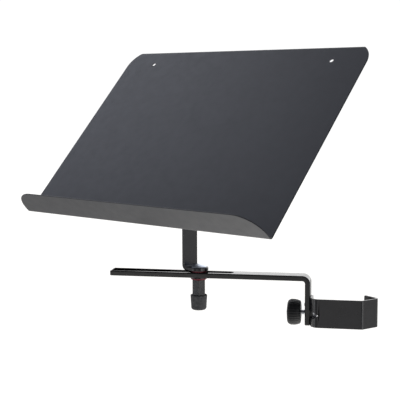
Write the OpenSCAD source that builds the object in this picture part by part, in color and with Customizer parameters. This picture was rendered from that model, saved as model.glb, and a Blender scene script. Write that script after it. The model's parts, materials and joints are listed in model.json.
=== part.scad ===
// Clamp-on music desk: a bent sheet-steel desk on a slotted side arm that hooks onto a round tube.
// The origin is on the axis of the clamped tube, level with the clamp screw.
// +X runs from the arm's free end to the tube, +Y points away from the reader, +Z is up.

/* [Desk] */
// Width of the desk
desk_w = 360; // [300:5:420]
// Height of the back panel, from the lip's fold to the top fold
desk_h = 265; // [230:1:300]
// Depth of the lip that the sheets stand on
lip_d = 36.5; // [30:0.5:45]
// Thickness of the sheet steel
desk_t = 1.2; // [1:0.1:1.6]
// Radius of the desk's corners
desk_corner_r = 30; // [18:1:34]
// Inner radius of the desk's folds
fold_r = 2; // [1:0.25:3]
// Depth of the edge that is turned back along the top
hem_d = 6; // [5:0.5:9]
// Radius of the two hanging holes
hole_r = 2.5; // [2:0.1:3.5]
// Distance of the hanging holes from the side edges
hole_side = 46; // [40:1:60]
// Distance of the hanging holes below the top fold
hole_down = 22; // [18:0.5:30]

/* [Tilt joint] */
// Lean of the desk back from upright, in degrees
desk_lean = 44; // [20:0.5:70]
// Distance up the panel from the lip's fold to the tilt bolt
tilt_up = 103; // [90:1:115]
// Distance of the tilt bolt behind the panel
tilt_back = 17; // [16:0.5:22]
// Radius of the tilt bolt
tilt_bolt_r = 3; // [2.5:0.25:3.5]
// Thickness of the tilt bracket
bracket_t = 2.5; // [2:0.25:3]
// Width of the tilt bracket's base along the desk
bracket_w = 70; // [66:1:90]
// Height of the tilt bracket's base up the desk
bracket_h = 40; // [32:1:56]
// Radius of the tilt bracket's rounded ears
ear_r = 9; // [8:0.5:11]
// Thickness of the fibre washers beside the strap
tilt_fibre_t = 1; // [0.8:0.1:1.6]
// Thickness of the steel washer under the tilt nut
tilt_washer_t = 1.6; // [1:0.1:2]

/* [Support strap] */
// Width of the strap
strap_w = 22; // [18:1:24]
// Thickness of the strap
strap_t = 4; // [3:0.5:5]
// Inner radius of the bend between strap and foot
strap_bend_r = 2; // [1:0.25:3]
// Height of the tilt bolt above the foot's underside
strap_h = 121.5; // [110:0.5:150]
// Turn of the desk about the pivot bolt, in degrees
swivel = 30.5; // [-60:0.5:60]

/* [Pivot bolt] */
// Radius of the pivot bolt
bolt_r = 4; // [3.5:0.25:4.5]
// Radius of the pivot bolt's domed head
bolt_head_r = 9; // [8:0.25:11]
// Height of the pivot bolt's domed head
bolt_head_h = 3.5; // [2.5:0.25:4.5]
// Length of the pivot bolt under its head
bolt_l = 35; // [28:1:38]
// Radius of the two fibre washers on the pivot bolt
fibre_r = 8.9; // [8:0.1:10]
// Thickness of the two fibre washers on the pivot bolt
fibre_t = 1.6; // [1:0.1:2.5]
// Radius of the steel plate washer under the arm
plate_r = 10; // [9:0.1:12]
// Thickness of the steel plate washer under the arm
plate_t = 1; // [0.8:0.1:2]

/* [Locking nut] */
// Width across the flats of the sleeve nut
nut_af = 14; // [12:0.5:16]
// Length of the sleeve nut
nut_l = 30; // [26:1:36]
// Turn of the sleeve nut about its axis, in degrees
nut_turn = -22.5; // [-30:0.5:30]
// Length of the rubber cap
cap_l = 17; // [15:0.5:22]
// Length of the sleeve nut that is inside the rubber cap
cap_grip = 12; // [8:0.5:13]
// Wall of the rubber cap at its mouth
cap_wall = 1.4; // [1:0.05:3]
// Loss of radius from the rubber cap's mouth to its foot
cap_taper = 1; // [0:0.1:1.6]
// Radius of the rubber cap's rounded foot
cap_round_r = 2.5; // [1:0.25:3]

/* [Arm] */
// Length of the arm from its free end to the outer face of its leg
arm_l = 229; // [215:1:280]
// Width of the arm
arm_w = 20; // [18:1:24]
// Thickness of the arm
arm_t = 6; // [4:0.5:8]
// Inner radius of the bend between arm and leg
arm_bend_r = 3; // [2:0.5:5]
// Height of the arm's top face above the clamp screw
arm_rise = 42.5; // [36:0.5:60]
// Length of the leg below the clamp screw
leg_below = 13.5; // [12:0.5:20]
// Length of the slot
slot_l = 134; // [120:1:140]
// Distance from the arm's free end to the slot
slot_start = 7; // [5:0.5:12]
// Distance from the slot's free end to the pivot bolt
bolt_along = 95; // [12:1:108]

/* [Tube hook] */
// Radius of the tube that sits in the hook
tube_r = 8; // [7:0.5:11]
// Distance from the tube's axis to the leg's outer face
hook_reach = 61; // [52:1:70]
// Distance from the tube's axis to the outer face of the hook's side wall
hook_side = 18; // [17:0.5:22]
// Height of the hook's strip
hook_h = 32; // [28:1:36]
// Height of the hook strip's middle above the clamp screw
hook_up = 2.5; // [0:0.5:4]
// Thickness of the hook's strip
hook_t = 2.5; // [2:0.25:3]
// Inner radius of the hook's bend beside the leg
hook_bend_r = 8; // [2:0.25:8]
// Inner radius of the two bends of the hook's V
hook_seat_r = 2.5; // [1:0.25:4]
// Reach of the hook's free end past the tube's axis
hook_tip = 15; // [12:0.5:18]
// Width of the hook's flap past the clamp screw
flap_past = 8; // [7:0.5:12]
// Height of the window in the hook's first bend
window_h = 7; // [5:0.5:9]
// Length of the window in the hook's first bend
window_l = 10; // [6:0.5:12]
// Height of the rivet above the clamp screw
rivet_up = 8.7; // [8.5:0.1:10]
// Radius of the rivet's heads
rivet_head_r = 2.5; // [2:0.1:3]
// Height of the rivet's heads
rivet_head_h = 1.2; // [0.8:0.1:1.5]
// Radius of the rivet's shank
rivet_r = 1.5; // [1:0.1:1.8]

/* [Clamp screw] */
// Radius of the clamp screw
screw_r = 3; // [2.5:0.25:3.25]
// Side of the square nut on the flap
square_nut_w = 10; // [9:0.5:11]
// Thickness of the square nut on the flap
square_nut_t = 5; // [4:0.5:6]
// Radius of the knob
knob_r = 14.5; // [12:0.5:18]
// Length of the knob
knob_l = 16; // [13:0.5:20]
// Rounding of the knob's rim
knob_round_r = 3.6; // [2:0.1:4]
// Rise of the knob's domed end
knob_dome = 1.6; // [0.5:0.1:2.5]
// Count of the grooves around the knob
knob_grooves = 30; // [12:1:36]
// Radius of the grooves around the knob
knob_groove_r = 0.6; // [0.3:0.1:0.8]
// Gap between the knob and the leg
knob_gap = 5; // [2:0.5:8]
// Radius of the pressure pad
pad_r = 5; // [4.5:0.25:6]
// Length of the pressure pad
pad_l = 8; // [6:0.5:12]
// Thickness of the pressure pad's end
pad_end = 2.5; // [1.5:0.25:4]

/* [Fits] */
// Radial clearance between a shaft and the hole that it turns in
run_gap = 0.05; // [0.02:0.01:0.08]
// Radial clearance of a hole that only lets a bolt through
pass_gap = 0.3; // [0.2:0.05:0.5]
// Gap between the pivot bolt's head and the strap's bend
head_gap = 0.5; // [0.4:0.1:1.5]

/* [Hidden] */
$fn = 96;
// Cutters reach this far past the faces that they cut
past = 1;
// Overlap of a strip's straight stretch and the bend beside it
lap = 0.01;
// Steps in a rounded corner of an outline
arc_steps = 8;

// Heights, from the clamp screw up
arm_under_z = arm_rise - arm_t;
foot_z = arm_rise + fibre_t;
foot_top_z = foot_z + strap_t;
tilt_z = foot_z + strap_h;
plate_z = arm_under_z - plate_t;
lower_fibre_z = plate_z - fibre_t;
nut_end_z = lower_fibre_z - nut_l;
cap_mouth_z = nut_end_z + cap_grip;

// Places along the arm
leg_x = -hook_reach;
arm_end_x = leg_x - arm_l;
slot_x = arm_end_x + slot_start;
bolt_x = slot_x + bolt_along;
slot_w = 2 * (bolt_r + pass_gap);
bolt_foot_z = foot_top_z - bolt_l;

// Strap, desk and tilt joint
strap_x = -(bolt_head_r + head_gap + strap_bend_r + strap_t / 2);
neck_w = 2 * bolt_r;
hem_r = fold_r + desk_t;
ear_gap = strap_t + 2 * tilt_fibre_t;
ear_out = ear_gap / 2 + bracket_t;
bracket_round_r = 4;
tilt_head_t = 1.3 * tilt_bolt_r;
tilt_nut_t = 2 * tilt_bolt_r;
tilt_bolt_past = 2;
tilt_washer_r = 2 * tilt_bolt_r;
tilt_hex_af = tilt_bolt_r * 10 / 3;

// Clamp
hook_apex = sqrt(2) * (tube_r + hook_t / 2);
hook_wall_y = -(hook_side - hook_t / 2);
tube_left_x = -tube_r;
knob_x = leg_x - arm_t - knob_gap;
screw_tip_x = tube_left_x - pad_end;
screw_head_af = screw_r * 10 / 3;
screw_head_t = 1.3 * screw_r;
screw_head_x = knob_x - knob_l / 2 - screw_head_t / 2;
cap_bore_r = nut_af / 2 / cos(30) + 2 * run_gap;
cap_mouth_r = cap_bore_r + cap_wall;
cap_foot_r = cap_mouth_r - cap_taper;

// ---- Outlines ----

function unit(v) = v / norm(v);

function heading(a, b) = atan2(b.y - a.y, b.x - a.x);

// An angle brought between -180 and 180 degrees
function wrap(a) = a > 180 ? a - 360 : a < -180 ? a + 360 : a;

function on_circle(c, r, a) = c + r * [cos(a), sin(a)];

// The points of a fillet of radius r at corner b of the line a, b, c
function corner_arc(a, b, c, r) =
    let (u = unit(a - b), v = unit(c - b))
    let (half = acos(u * v) / 2)
    let (centre = b + unit(u + v) * r / sin(half))
    let (start = b + u * r / tan(half), stop = b + v * r / tan(half))
    let (from = heading(centre, start))
    let (sweep = wrap(heading(centre, stop) - from))
    [for (k = [0:arc_steps]) on_circle(centre, r, from + sweep * k / arc_steps)];

function xy(p) = [p.x, p.y];

// A closed outline from corners [x, y, radius]
function rounded_outline(p) = [
    for (i = [0:len(p) - 1])
        let (before = p[(i + len(p) - 1) % len(p)], here = p[i], after = p[(i + 1) % len(p)])
        each here[2] > 0 ? corner_arc(xy(before), xy(here), xy(after), here[2]) : [xy(here)]
];

function turn_at(p, i) = wrap(heading(p[i], p[i + 1]) - heading(p[i - 1], p[i]));

function is_bend(p, i) = i > 0 && i < len(p) - 1;

// Length that a bend takes from the straight stretch on each side of it
function setback(p, i, r) = is_bend(p, i) ? r * tan(abs(turn_at(p, i)) / 2) : 0;

// Square bends meet their straight stretches exactly, and the others are lapped into them
function bend_lap(p, i) = is_bend(p, i) && abs(turn_at(p, i)) != 90 ? lap : 0;

// A strip of thickness t along the points p, seen on edge; r_in lists the inner radius at each point
module bent_strip(p, t, r_in) {
    for (i = [0:len(p) - 2]) {
        start = setback(p, i, r_in[i] + t / 2) - bend_lap(p, i);
        stop = norm(p[i + 1] - p[i]) - setback(p, i + 1, r_in[i + 1] + t / 2) + bend_lap(p, i + 1);
        translate(p[i])
            rotate(heading(p[i], p[i + 1]))
                translate([start, -t / 2])
                    square([stop - start, t]);
    }
    for (i = [1:len(p) - 2])
        strip_bend(p, i, t, r_in[i]);
}

module strip_bend(p, i, t, r_in) {
    r_mid = r_in + t / 2;
    side = sign(turn_at(p, i));
    way_in = heading(p[i - 1], p[i]);
    way_out = way_in + turn_at(p, i);
    start = on_circle(p[i], -setback(p, i, r_mid), way_in);
    centre = on_circle(start, side * r_mid, way_in + 90);
    translate(centre)
        ring_sector(r_in, r_in + t, way_in - side * 90, way_out - side * 90);
}

module ring_sector(r_in, r_out, from, to) {
    reach = 2 * r_out;
    middle = (from + to) / 2;
    intersection() {
        difference() {
            circle(r_out);
            circle(r_in);
        }
        polygon([[0, 0], on_circle([0, 0], reach, from), on_circle([0, 0], reach, middle),
                 on_circle([0, 0], reach, to)]);
    }
}

// What a rounded corner of radius r leaves over, with its arc's centre at the origin
module corner_waste(r) {
    difference() {
        square(r + past);
        circle(r);
    }
}

module slot_outline(length, width) {
    translate([width / 2, 0])
        circle(width / 2);
    translate([length - width / 2, 0])
        circle(width / 2);
    translate([width / 2, -width / 2])
        square([length - width, width]);
}

// ---- Round and hexagonal stock ----

module hex_prism(across_flats, height) {
    cylinder(r = across_flats / 2 / cos(30), h = height, $fn = 6);
}

module ring(r_out, r_in, height) {
    difference() {
        cylinder(r = r_out, h = height);
        translate([0, 0, -past])
            cylinder(r = r_in, h = height + 2 * past);
    }
}

// A cap cut from a ball, r wide and h high
module dome(r, h) {
    ball_r = (r * r + h * h) / (2 * h);
    rotate_extrude()
        intersection() {
            translate([0, h - ball_r])
                circle(ball_r);
            square([r + past, h + past]);
        }
}

// ---- Frames of the moving assemblies ----

// The pivot bolt's axis, at the height of the clamp screw, turned with the desk
module on_pivot() {
    translate([bolt_x, 0, 0])
        rotate([0, 0, -swivel])
            children();
}

// The desk's own frame: x along it, y up the back of its panel, z out of its front,
// with the origin on the outer corner of the lip's fold
module on_desk() {
    on_pivot()
        translate([strap_x, 0, tilt_z])
            rotate([90 - desk_lean, 0, 0])
                translate([0, -tilt_up, tilt_back])
                    children();
}

// The tilt bolt's axis, along the desk
module on_tilt() {
    on_desk()
        translate([0, tilt_up, -tilt_back])
            rotate([0, 90, 0])
                children();
}

// The clamp screw's axis, with z towards the tube
module on_screw(x) {
    translate([x, 0, 0])
        rotate([0, 90, 0])
            children();
}

// ---- Arm and tube hook ----

module slotted_arm() {
    path = [[arm_end_x, arm_rise - arm_t / 2], [leg_x - arm_t / 2, arm_rise - arm_t / 2],
            [leg_x - arm_t / 2, -leg_below]];
    color("#141416")
        difference() {
            rotate([90, 0, 0])
                linear_extrude(arm_w, center = true)
                    bent_strip(path, arm_t, [0, arm_bend_r, 0]);
            translate([slot_x, 0, arm_under_z - past])
                linear_extrude(arm_t + 2 * past)
                    slot_outline(slot_l, slot_w);
            on_screw(leg_x - arm_t - past)
                cylinder(r = screw_r + pass_gap, h = arm_t + 2 * past);
            on_screw(leg_x - arm_t - past)
                translate([-rivet_up, 0, 0])
                    cylinder(r = rivet_r, h = arm_t + 2 * past);
        }
}

module tube_hook() {
    flap_x = leg_x + hook_t / 2;
    path = [[flap_x, flap_past], [flap_x, hook_wall_y], [hook_apex + hook_wall_y, hook_wall_y],
            [hook_apex, 0], [hook_apex - hook_tip, hook_tip]];
    color("#26272a")
        difference() {
            translate([0, 0, hook_up])
                linear_extrude(hook_h, center = true)
                    bent_strip(path, hook_t, [0, hook_bend_r, hook_seat_r, hook_seat_r, 0]);
            on_screw(leg_x - past)
                cylinder(r = screw_r + pass_gap, h = hook_t + 2 * past);
            on_screw(leg_x - past)
                translate([-rivet_up, 0, 0])
                    cylinder(r = rivet_r, h = hook_t + 2 * past);
            window();
        }
}

// The pointed window in the hook's first bend, cut straight back
module window() {
    translate([leg_x, hook_wall_y + hook_t / 2 + hook_bend_r, 0])
        rotate([90, 0, 0])
            linear_extrude(hook_bend_r + hook_t + past)
                polygon([[-past, -window_h / 2], [window_l / 3, -window_h / 2], [window_l, 0],
                         [window_l / 3, window_h / 2], [-past, window_h / 2]]);
}

module hook_rivet() {
    grip = arm_t + hook_t;
    color("#1c1d1f")
        translate([0, 0, rivet_up])
            on_screw(leg_x - arm_t) {
                cylinder(r = rivet_r, h = grip);
                translate([0, 0, grip])
                    dome(rivet_head_r, rivet_head_h);
                mirror([0, 0, 1])
                    dome(rivet_head_r, rivet_head_h);
            }
}

module square_nut() {
    color("#8d8f92")
        on_screw(leg_x + hook_t)
            difference() {
                translate([-square_nut_w / 2, -square_nut_w / 2, 0])
                    cube([square_nut_w, square_nut_w, square_nut_t]);
                translate([0, 0, -past])
                    cylinder(r = screw_r + run_gap, h = square_nut_t + 2 * past);
            }
}

// ---- Clamp screw ----

module clamp_screw() {
    color("#a9abad")
        on_screw(screw_head_x) {
            hex_prism(screw_head_af, screw_head_t);
            cylinder(r = screw_r, h = screw_tip_x - screw_head_x);
        }
}

module clamp_knob() {
    back = knob_round_r / 2;
    profile = rounded_outline([
        [0, 0, 0], [knob_r - back, 0, back], [knob_r, knob_l / 3, knob_r], [knob_r, knob_l * 2 / 3, 0],
        [knob_r - back, knob_l - knob_dome, knob_round_r], [0, knob_l, 0]
    ]);
    color("#17181a")
        on_screw(knob_x)
            mirror([0, 0, 1])
                difference() {
                    rotate_extrude()
                        polygon(profile);
                    for (i = [0:knob_grooves - 1])
                        rotate([0, 0, i * 360 / knob_grooves])
                            translate([knob_r + knob_groove_r / 4, 0, -past])
                                cylinder(r = knob_groove_r, h = knob_l + 2 * past);
                    translate([0, 0, -past])
                        cylinder(r = screw_r, h = knob_l / 2 + past);
                    translate([0, 0, (knob_l - screw_head_t) / 2])
                        hex_prism(screw_head_af, screw_head_t);
                }
}

module pressure_pad() {
    lead = pad_end / 4;
    color("#2a2b2d")
        on_screw(tube_left_x - pad_l)
            difference() {
                rotate_extrude()
                    polygon(rounded_outline([
                        [0, 0, 0], [pad_r, 0, lead], [pad_r, pad_l, lead], [0, pad_l, 0]
                    ]));
                translate([0, 0, -past])
                    cylinder(r = screw_r + run_gap, h = pad_l - pad_end + past);
            }
}

// ---- Pivot stack on the slot ----

module upper_fibre_washer() {
    color("#7a1f24")
        translate([bolt_x, 0, arm_rise])
            ring(fibre_r, bolt_r + run_gap, fibre_t);
}

module plate_washer() {
    color("#1b1c1e")
        translate([bolt_x, 0, plate_z])
            ring(plate_r, bolt_r + run_gap, plate_t);
}

module lower_fibre_washer() {
    color("#7a1f24")
        translate([bolt_x, 0, lower_fibre_z])
            ring(fibre_r, bolt_r + run_gap, fibre_t);
}

module sleeve_nut() {
    color("#202124")
        translate([bolt_x, 0, nut_end_z])
            difference() {
                rotate(nut_turn)
                    hex_prism(nut_af, nut_l);
                translate([0, 0, -past])
                    cylinder(r = bolt_r + run_gap, h = nut_l + 2 * past);
            }
}

module rubber_cap() {
    mouth_round_r = cap_wall / 3;
    profile = rounded_outline([
        [0, 0, 0], [cap_foot_r, 0, cap_round_r], [cap_mouth_r, cap_l, mouth_round_r],
        [cap_bore_r, cap_l, mouth_round_r], [cap_bore_r, cap_l - cap_grip, 0], [0, cap_l - cap_grip, 0]
    ]);
    color("#2f3033")
        translate([bolt_x, 0, cap_mouth_z - cap_l])
            rotate_extrude()
                polygon(profile);
}

module pivot_bolt() {
    color("#d5d7da")
        on_pivot() {
            translate([0, 0, foot_top_z])
                dome(bolt_head_r, bolt_head_h);
            translate([-neck_w / 2, -neck_w / 2, foot_z])
                cube([neck_w, neck_w, strap_t]);
            translate([0, 0, bolt_foot_z])
                cylinder(r = bolt_r, h = foot_top_z - bolt_foot_z);
        }
}

module support_strap() {
    foot_mid_z = foot_z + strap_t / 2;
    color("#232427")
        on_pivot()
            difference() {
                union() {
                    rotate([90, 0, 0])
                        linear_extrude(strap_w, center = true)
                            bent_strip([[0, foot_mid_z], [strap_x, foot_mid_z], [strap_x, tilt_z]],
                                       strap_t, [0, strap_bend_r, 0]);
                    translate([0, 0, foot_z])
                        cylinder(r = strap_w / 2, h = strap_t);
                    translate([strap_x - strap_t / 2, 0, tilt_z])
                        rotate([0, 90, 0])
                            cylinder(r = strap_w / 2, h = strap_t);
                }
                translate([-neck_w / 2, -neck_w / 2, foot_z - past])
                    cube([neck_w, neck_w, strap_t + 2 * past]);
                translate([strap_x - strap_t / 2 - past, 0, tilt_z])
                    rotate([0, 90, 0])
                        cylinder(r = tilt_bolt_r + run_gap, h = strap_t + 2 * past);
            }
}

// ---- Desk and tilt joint ----

// The sheet seen from its end: lip, fold, panel, top fold and turned-back edge
module desk_section() {
    mid = desk_t / 2;
    bent_strip([[mid, lip_d], [mid, mid], [desk_h - mid, mid], [desk_h - mid, desk_t - hem_d]],
               desk_t, [0, fold_r, fold_r, 0]);
}

module desk_plate() {
    arc_x = desk_w / 2 - desk_corner_r;
    color("#46494e")
        on_desk()
            difference() {
                rotate([90, 0, 90])
                    linear_extrude(desk_w, center = true)
                        desk_section();
                for (side = [-1, 1]) {
                    // Top corner of the panel
                    translate([side * arc_x, desk_h + hem_d - desk_corner_r, -past])
                        mirror([side < 0 ? 1 : 0, 0, 0])
                            linear_extrude(desk_t + 2 * past)
                                corner_waste(desk_corner_r);
                    // The same corner carried over the top fold
                    translate([side * arc_x, desk_h - hem_r, desk_corner_r - hem_d + desk_t])
                        mirror([side < 0 ? 1 : 0, 0, 0])
                            rotate([-90, 0, 0])
                                linear_extrude(hem_r + past)
                                    corner_waste(desk_corner_r);
                    // Corner of the lip
                    translate([side * arc_x, desk_t + past, lip_d - desk_corner_r])
                        mirror([side < 0 ? 1 : 0, 0, 0])
                            rotate([90, 0, 0])
                                linear_extrude(desk_t + 2 * past)
                                    corner_waste(desk_corner_r);
                    translate([side * (desk_w / 2 - hole_side), desk_h - hole_down, -past])
                        cylinder(r = hole_r, h = desk_t + 2 * past);
                }
            }
}

// A plate on the panel's back, with two ears bent out of it beside the strap
module tilt_bracket() {
    ear_reach = tilt_back + ear_r;
    half_w = bracket_w / 2;
    half_h = bracket_h / 2;
    color("#202124")
        on_desk()
            translate([0, tilt_up, 0])
                difference() {
                    union() {
                        translate([0, 0, -bracket_t])
                            linear_extrude(bracket_t)
                                polygon(rounded_outline([
                                    [-half_w, -half_h, bracket_round_r], [half_w, -half_h, bracket_round_r],
                                    [half_w, half_h, bracket_round_r], [-half_w, half_h, bracket_round_r]
                                ]));
                        for (side = [-1, 1])
                            translate([side * (ear_out - bracket_t / 2), 0, 0])
                                ear();
                    }
                    for (side = [-1, 1])
                        translate([side * (ear_out + ear_reach / 2), 0, -bracket_t / 2])
                            cube([ear_reach - bracket_t, 2 * ear_r, bracket_t + 2 * past], center = true);
                    translate([-ear_out - past, 0, -tilt_back])
                        rotate([0, 90, 0])
                            cylinder(r = tilt_bolt_r + run_gap, h = 2 * (ear_out + past));
                }
}

// One ear of the tilt bracket, a rounded tongue standing out of the base
module ear() {
    translate([-bracket_t / 2, -ear_r, -tilt_back])
        cube([bracket_t, 2 * ear_r, tilt_back]);
    translate([-bracket_t / 2, 0, -tilt_back])
        rotate([0, 90, 0])
            cylinder(r = ear_r, h = bracket_t);
}

module tilt_bolt() {
    shank_end = ear_out + tilt_washer_t + tilt_nut_t + tilt_bolt_past;
    color("#2b2c2f")
        on_tilt() {
            translate([0, 0, -ear_out])
                cylinder(r = tilt_bolt_r, h = ear_out + shank_end);
            translate([0, 0, -ear_out - tilt_head_t])
                hex_prism(tilt_hex_af, tilt_head_t);
        }
}

module tilt_fibre_washers() {
    color("#7a1f24")
        on_tilt()
            for (z = [-strap_t / 2 - tilt_fibre_t, strap_t / 2])
                translate([0, 0, z])
                    ring(ear_r, tilt_bolt_r + run_gap, tilt_fibre_t);
}

module tilt_washer() {
    color("#2b2c2f")
        on_tilt()
            translate([0, 0, ear_out])
                ring(tilt_washer_r, tilt_bolt_r + run_gap, tilt_washer_t);
}

module tilt_nut() {
    color("#2b2c2f")
        on_tilt()
            translate([0, 0, ear_out + tilt_washer_t])
                difference() {
                    hex_prism(tilt_hex_af, tilt_nut_t);
                    translate([0, 0, -past])
                        cylinder(r = tilt_bolt_r + run_gap, h = tilt_nut_t + 2 * past);
                }
}

slotted_arm();
tube_hook();
hook_rivet();
square_nut();
clamp_screw();
clamp_knob();
pressure_pad();
upper_fibre_washer();
plate_washer();
lower_fibre_washer();
sleeve_nut();
rubber_cap();
pivot_bolt();
support_strap();
desk_plate();
tilt_bracket();
tilt_bolt();
tilt_fibre_washers();
tilt_washer();
tilt_nut();
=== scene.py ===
import json
import math

import bmesh
import bpy
from mathutils import Matrix, Vector


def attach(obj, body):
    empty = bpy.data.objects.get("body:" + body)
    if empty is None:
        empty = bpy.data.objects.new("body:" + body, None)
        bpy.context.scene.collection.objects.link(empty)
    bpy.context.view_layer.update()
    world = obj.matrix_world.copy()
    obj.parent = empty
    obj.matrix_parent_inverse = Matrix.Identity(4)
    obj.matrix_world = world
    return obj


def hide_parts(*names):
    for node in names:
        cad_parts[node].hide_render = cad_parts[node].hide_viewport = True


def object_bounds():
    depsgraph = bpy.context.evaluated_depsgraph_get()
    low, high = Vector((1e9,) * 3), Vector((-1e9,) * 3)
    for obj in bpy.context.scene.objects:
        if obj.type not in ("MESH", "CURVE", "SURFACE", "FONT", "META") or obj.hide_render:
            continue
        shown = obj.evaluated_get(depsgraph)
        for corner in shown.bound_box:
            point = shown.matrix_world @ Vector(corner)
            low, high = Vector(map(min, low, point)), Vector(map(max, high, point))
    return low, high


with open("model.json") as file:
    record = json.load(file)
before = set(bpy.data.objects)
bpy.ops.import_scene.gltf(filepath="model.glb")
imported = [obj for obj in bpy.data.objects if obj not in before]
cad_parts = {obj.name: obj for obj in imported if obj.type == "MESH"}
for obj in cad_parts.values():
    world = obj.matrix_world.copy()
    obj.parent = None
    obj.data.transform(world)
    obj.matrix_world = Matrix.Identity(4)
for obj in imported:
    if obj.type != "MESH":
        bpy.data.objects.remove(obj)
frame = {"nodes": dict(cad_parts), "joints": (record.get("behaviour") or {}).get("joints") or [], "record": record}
cad_low, cad_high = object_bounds()

MM = 0.001
TINY = 1e-6
QUARTER = math.pi / 2

# ---- Places taken from the frame ----

joints = {joint["name"]: joint for joint in frame["joints"]}
mounts = {mount["name"]: mount for mount in frame["record"]["mounts"]}


def placed(origin, x_axis, y_axis, z_axis):
    """A frame with its own axes, as a matrix from its coordinates to the row frame."""
    turned_frame = Matrix((x_axis, y_axis, z_axis)).transposed().to_4x4()
    return Matrix.Translation(origin) @ turned_frame


def extent(node, place):
    """Lowest and highest corner of a CAD node, measured along the axes of a frame."""
    back = place.inverted()
    points = [back @ vertex.co for vertex in frame["nodes"][node].data.vertices]
    return Vector(map(min, zip(*points))), Vector(map(max, zip(*points)))


X, Y, Z = Vector((1, 0, 0)), Vector((0, 1, 0)), Vector((0, 0, 1))
bolt_axis = Vector(joints["desk_swivel"]["pos_m"])
along_desk = Vector(joints["desk_tilt"]["axis"]).normalized()
tilt_centre = Vector(joints["desk_tilt"]["pos_m"])
out_of_desk = Vector(mounts["desk_face"]["axis"]).normalized()
up_desk = out_of_desk.cross(along_desk)

pivot_place = placed(bolt_axis, along_desk, Z.cross(along_desk), Z)
stack_place = placed(bolt_axis, X, Y, Z)
tilt_place = placed(tilt_centre, -out_of_desk, up_desk, along_desk)
screw_place = placed(Vector((0, 0, 0)), -Z, Y, X)

# ---- Sizes shared with the solids ----

SHEET_T = 1.2 * MM
SHEET_FOLD_R = 2 * MM
DESK_CORNER_R = 30 * MM
TOP_CORNER_R = 28.5 * MM
HANGING_HOLE_R = 2.5 * MM
HANGING_HOLE_SIDE = 46 * MM
HANGING_HOLE_DOWN = 22 * MM
ARM_T = 6 * MM
ARM_BEND_R = 3 * MM
SLOT_START = 7 * MM
SLOT_L = 134 * MM
SLOT_W = 8.6 * MM
SCREW_R = 3 * MM
SCREW_HOLE_R = 3.3 * MM
SCREW_PITCH = 1 * MM
STRAP_T = 4 * MM
STRAP_BEND_R = 2 * MM
HOOK_T = 2.5 * MM
HOOK_BEND_R = 8 * MM
HOOK_SEAT_R = 2.5 * MM
HOOK_TIP = 15 * MM
TUBE_R = 8 * MM
WINDOW_H = 7 * MM
WINDOW_L = 10 * MM
BOLT_R = 4 * MM
BOLT_PITCH = 1.25 * MM
BOLT_NECK = 8 * MM
TILT_BOLT_R = 3 * MM
TILT_BOLT_PITCH = 1 * MM
BRACKET_T = 2.5 * MM
BRACKET_CORNER_R = 4 * MM
BRACKET_BEND_R = 0.8 * MM
EAR_R = 9 * MM
EAR_GAP = 6 * MM
NUT_ACROSS = 14 * MM
NUT_TURN = math.radians(-22.5)
CAP_WALL = 1.4 * MM
CAP_FLOOR = 5 * MM
CAP_TAPER = 1 * MM
CAP_ROUND_R = 2.5 * MM
FLAP_PAST = 8 * MM
RUN_GAP = 0.05 * MM

# ---- Edges and other small detail ----

# What a stack washer's faces keep clear of the faces beside them
FACE_GAP = 0.02 * MM
SHEET_EDGE = 0.48 * MM
ARM_EDGE = 1.2 * MM
STRIP_EDGE = 0.5 * MM
BRACKET_EDGE = 0.3 * MM
TILT_BOLT_EDGE = 0.12 * MM
PIVOT_HEAD_EDGE = 0.18 * MM
SLEEVE_NUT_EDGE = 0.25 * MM
SQUARE_NUT_EDGE = 0.2 * MM
FIBRE_EDGE = 0.25 * MM
PLATE_EDGE = 0.15 * MM
TILT_FIBRE_EDGE = 0.15 * MM
TILT_WASHER_EDGE = 0.2 * MM
ARM_CORNER_R = 2.5 * MM
HOOK_CORNER_R = 1.5 * MM
BRACKET_WINDOW_R = 1.5 * MM
# A rounded end as a share of a full half circle, so that its two corners stay apart
FULL_ROUND = 0.999
# Height of a bolt's head as a share of its thread's radius
HEAD_T = 1.3
# Depth of a screw thread as a share of its pitch
THREAD_DEPTH = 0.613
# The chamfer of a nut or of a bolt's head: where it starts, as a share of the half width, how far out
# the tool reaches, as a share of the corner's radius, and its slope
CHAMFER_FROM = 0.96
CHAMFER_PAST = 1.02
CHAMFER_SLOPE = math.radians(30)
# Chamfered lead at the ends of the tilt bolt's thread and of the other two
TILT_LEAD = 0.5 * MM
LEAD = 0.6 * MM
# Rounding of the pressure pad's rims
PAD_RIM_R = 0.6 * MM
# Lengths of the cutters that bore right through the nuts and the arm's leg
TILT_NUT_CUTTER = 30 * MM
LEG_CUTTER = 40 * MM
SQUARE_NUT_CUTTER = 60 * MM

# ---- Workbench ----


def only(piece):
    bpy.ops.object.select_all(action="DESELECT")
    piece.select_set(True)
    bpy.context.view_layer.objects.active = piece


def open_mesh(piece):
    only(piece)
    bpy.ops.object.mode_set(mode="EDIT")


def close_mesh():
    bpy.ops.object.mode_set(mode="OBJECT")


def named(name):
    """Names the piece that was just added, and opens its mesh with all of it selected."""
    piece = bpy.context.object
    piece.name = name
    piece.data.name = name
    open_mesh(piece)
    bpy.ops.mesh.select_all(action="SELECT")
    return piece


def pick(piece, kind, wanted):
    """Selects the vertices, edges or faces for which wanted() is true, in edit mode."""
    bpy.ops.mesh.select_mode(type=kind)
    bpy.ops.mesh.select_all(action="DESELECT")
    mesh = bmesh.from_edit_mesh(piece.data)
    for part in {"VERT": mesh.verts, "EDGE": mesh.edges, "FACE": mesh.faces}[kind]:
        if wanted(part):
            part.select_set(True)
    mesh.select_flush_mode()
    bmesh.update_edit_mesh(piece.data)


def turn_selection(angle, axis, centre):
    """Turns what is selected by the right-hand rule. With no window the operator turns the other way."""
    bpy.ops.transform.rotate(value=-angle, orient_axis=axis, center_override=centre)


def apply_all(piece):
    only(piece)
    for modifier in list(piece.modifiers):
        bpy.ops.object.modifier_apply(modifier=modifier.name)


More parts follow.
